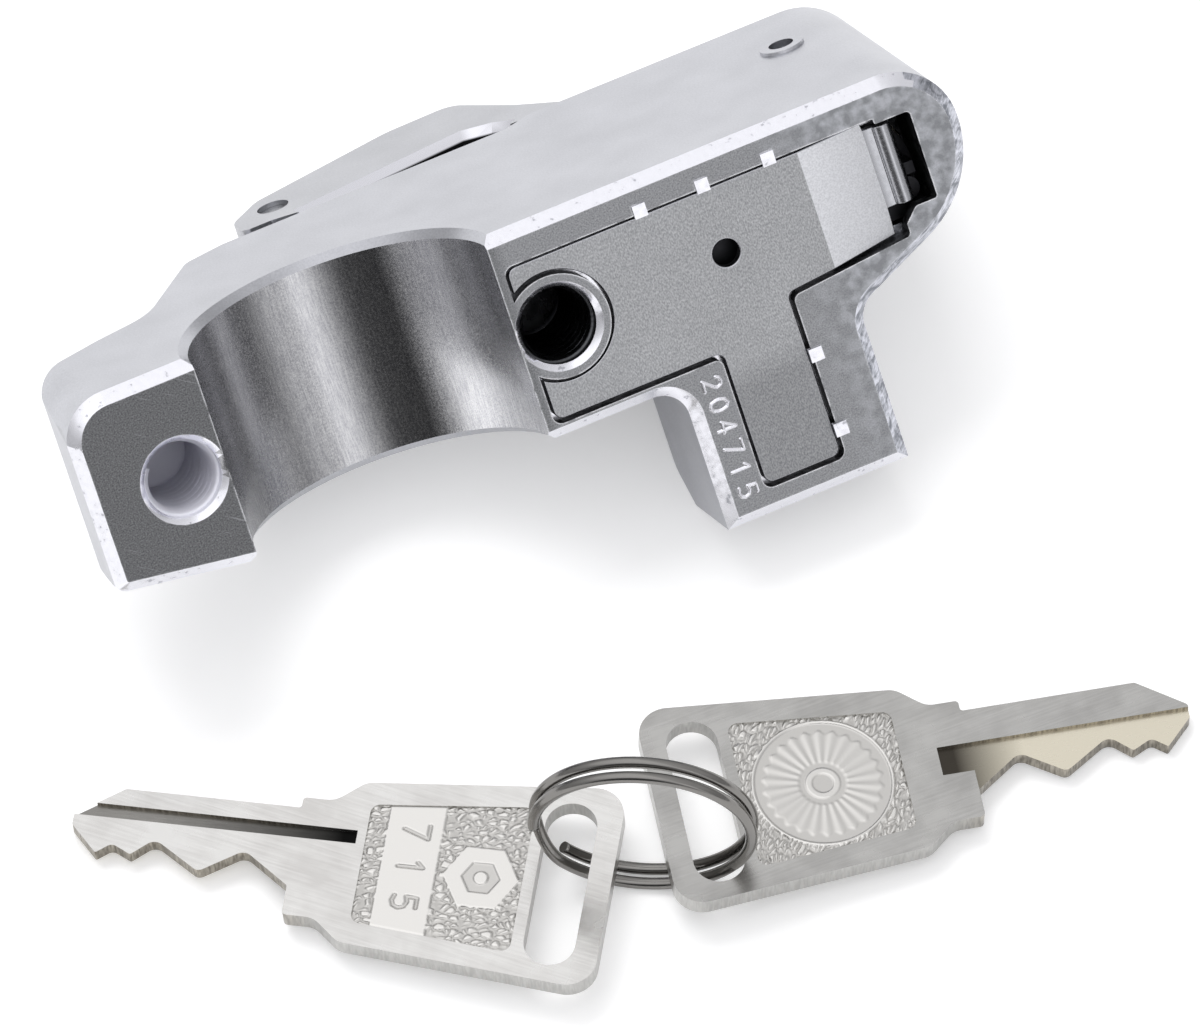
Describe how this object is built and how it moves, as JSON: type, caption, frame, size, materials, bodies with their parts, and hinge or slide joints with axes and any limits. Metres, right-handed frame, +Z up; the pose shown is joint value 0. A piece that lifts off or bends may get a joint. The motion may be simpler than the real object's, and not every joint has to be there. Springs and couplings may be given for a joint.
{
  "type": "helmet lock",
  "caption": "Tube-mounted helmet lock with a cast saddle body, a hinged hook, a key cylinder with its latch bolt, and flat keys on a split ring.",
  "frame": {"origin": "on the table, under the middle of the lock and its keys", "axes": "+Z up from the table, +X along the lock from its left lug to its round nose, -Y towards the keys"},
  "size_m": [0.1072, 0.0978, 0.0352],
  "materials": {
    "cast_chrome": "satin chrome over a fine cast grain",
    "plate_steel": "fine blasted",
    "pin_steel": "ground",
    "spring_steel": "drawn wire",
    "barrel_brass": "nickel plated",
    "wafer_brass": "punched",
    "cover_black": "moulded",
    "key_nickel": "nickel plated, polished",
    "ring_steel": "polished"
  },
  "bodies": {
    "lock": {"body_casting": "cast_chrome", "cover_plate": "plate_steel", "cylinder_barrel": "barrel_brass", "face_ring": "cast_chrome", "barrel_pin": "pin_steel", "latch_spring": "spring_steel", "hook_pivot_pin": "pin_steel", "hook_spring": "spring_steel", "cover_rivet": "pin_steel"},
    "plug": {"cylinder_plug": "barrel_brass", "cam": "pin_steel", "cam_clip": "spring_steel", "wafer_spring_1": "spring_steel", "wafer_spring_2": "spring_steel", "wafer_spring_3": "spring_steel", "wafer_spring_4": "spring_steel"},
    "latch": {"latch_bolt": "pin_steel"},
    "hook": {"hook_lever": "cast_chrome"},
    "cover": {"key_cover": "cover_black"},
    "ring": {"split_ring": "ring_steel"},
    "key_1": {"key_1": "key_nickel"},
    "key_2": {"key_2": "key_nickel"},
    "wafer_1": {"wafer_1": "wafer_brass"},
    "wafer_2": {"wafer_2": "wafer_brass"},
    "wafer_3": {"wafer_3": "wafer_brass"},
    "wafer_4": {"wafer_4": "wafer_brass"}
  },
  "joints": [
    {"name": "hook_swing", "type": "hinge", "parent": "lock", "child": "hook", "pos_m": [-0.00798, 0.03912, 0.00643], "axis": [0, 0.6921, 0.7218], "range_deg": [0, 55], "deforming": ["hook_spring"]},
    {"name": "plug_turn", "type": "hinge", "parent": "lock", "child": "plug", "pos_m": [0.04332, 0.02282, 0.01443], "axis": [0, -0.7218, 0.6921], "range_deg": [0, 60]},
    {"name": "bolt_slide", "type": "slide", "parent": "lock", "child": "latch", "axis": [0, 0.6921, 0.7218], "range_m": [0, 0.0042], "deforming": ["latch_spring"]},
    {"name": "cover_swing", "type": "hinge", "parent": "lock", "child": "cover", "pos_m": [0.03402, 0.0354, 0.00805], "axis": [0, -0.7218, 0.6921], "range_deg": [0, 100]},
    {"name": "set_lift", "type": "slide", "parent": "lock", "child": "ring", "axis": [0, 0, 1], "range_m": [0, 0.06]},
    {"name": "key_1_turn", "type": "hinge", "parent": "ring", "child": "key_1", "pos_m": [-0.00438, -0.03841, 0.0114], "axis": [0.4787, 0.878, 0], "range_deg": [0, 45]},
    {"name": "key_2_turn", "type": "hinge", "parent": "ring", "child": "key_2", "pos_m": [-0.00438, -0.03841, 0.0114], "axis": [-0.4787, -0.878, 0], "range_deg": [0, 45]},
    {"name": "wafer_1_slide", "type": "slide", "parent": "plug", "child": "wafer_1", "axis": [-0.866, -0.3461, -0.3609], "range_m": [0, 0.0005], "deforming": ["wafer_spring_1"]},
    {"name": "wafer_2_slide", "type": "slide", "parent": "plug", "child": "wafer_2", "axis": [-0.866, -0.3461, -0.3609], "range_m": [0, 0.0005], "deforming": ["wafer_spring_2"]},
    {"name": "wafer_3_slide", "type": "slide", "parent": "plug", "child": "wafer_3", "axis": [-0.866, -0.3461, -0.3609], "range_m": [0, 0.0005], "deforming": ["wafer_spring_3"]},
    {"name": "wafer_4_slide", "type": "slide", "parent": "plug", "child": "wafer_4", "axis": [-0.866, -0.3461, -0.3609], "range_m": [0, 0.0005], "deforming": ["wafer_spring_4"]}
  ],
  "couplings": [
    {"joint": "bolt_slide", "follows": "plug_turn", "m_per_rad": 0.0040107}
  ]
}
